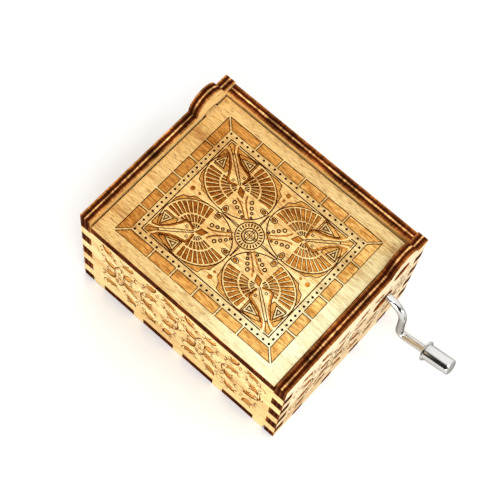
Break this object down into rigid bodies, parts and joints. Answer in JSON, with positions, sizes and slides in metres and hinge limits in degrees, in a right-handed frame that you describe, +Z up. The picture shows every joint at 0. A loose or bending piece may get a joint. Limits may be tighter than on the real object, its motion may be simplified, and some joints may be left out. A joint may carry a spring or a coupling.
{
  "type": "hand crank music box",
  "caption": "Finger-jointed plywood music box with a hinged engraved lid, and a comb movement inside turned by a bent wire crank.",
  "frame": {"origin": "centre of the case's footprint, on the underside that it stands on", "axes": "+X along the case's width towards the crank, +Y from the front board to the back board, +Z up"},
  "size_m": [0.0869, 0.0512, 0.042],
  "materials": {
    "plywood": "bare sanded three-ply, laser-cut with burnt edges",
    "nickel_plate": "bright nickel-plated steel",
    "spring_steel": "ground steel",
    "cast_metal": "satin grey casting",
    "brass": "turned brass",
    "nylon": "moulded, satin",
    "resin": "cast brown resin"
  },
  "bodies": {
    "case": {"front_panel": "plywood", "back_panel": "plywood", "left_panel": "plywood", "right_panel": "plywood", "bottom_panel": "plywood", "bedplate": "cast_metal", "comb": "spring_steel", "front_arbor_bracket": "spring_steel", "back_arbor_bracket": "spring_steel", "inner_crank_bush": "brass", "outer_crank_bush": "brass", "front_comb_screw": "nickel_plate", "back_comb_screw": "nickel_plate", "front_bracket_screw": "nickel_plate", "back_bracket_screw": "nickel_plate", "mount_screw_1": "nickel_plate", "mount_screw_2": "nickel_plate", "mount_screw_3": "nickel_plate"},
    "lid": {"lid": "plywood"},
    "cylinder": {"pinned_cylinder": "brass", "cylinder_filling": "resin", "front_cylinder_cap": "brass", "back_cylinder_cap": "brass", "cylinder_arbor": "spring_steel", "worm_wheel": "nylon"},
    "crank": {"crank_wire": "nickel_plate", "worm": "brass", "crank_clip": "spring_steel"},
    "knob": {"crank_knob": "nickel_plate"}
  },
  "joints": [
    {"name": "lid_hinge", "type": "hinge", "parent": "case", "child": "lid", "pos_m": [0, 0.0166, 0.03355], "axis": [-1, 0, 0], "range_deg": [0, 138]},
    {"name": "crank_turn", "type": "hinge", "parent": "case", "child": "crank", "pos_m": [0.03, 0.0136, 0.02295], "axis": [1, 0, 0], "continuous": true},
    {"name": "cylinder_turn", "type": "hinge", "parent": "case", "child": "cylinder", "pos_m": [0.008, 0, 0.0136], "axis": [0, 1, 0], "continuous": true},
    {"name": "knob_spin", "type": "hinge", "parent": "crank", "child": "knob", "pos_m": [0.05066, 0.0136, 0.01234], "axis": [0.9617, 0, 0.274], "continuous": true}
  ],
  "couplings": [
    {"joint": "cylinder_turn", "follows": "crank_turn", "ratio": -0.05}
  ]
}
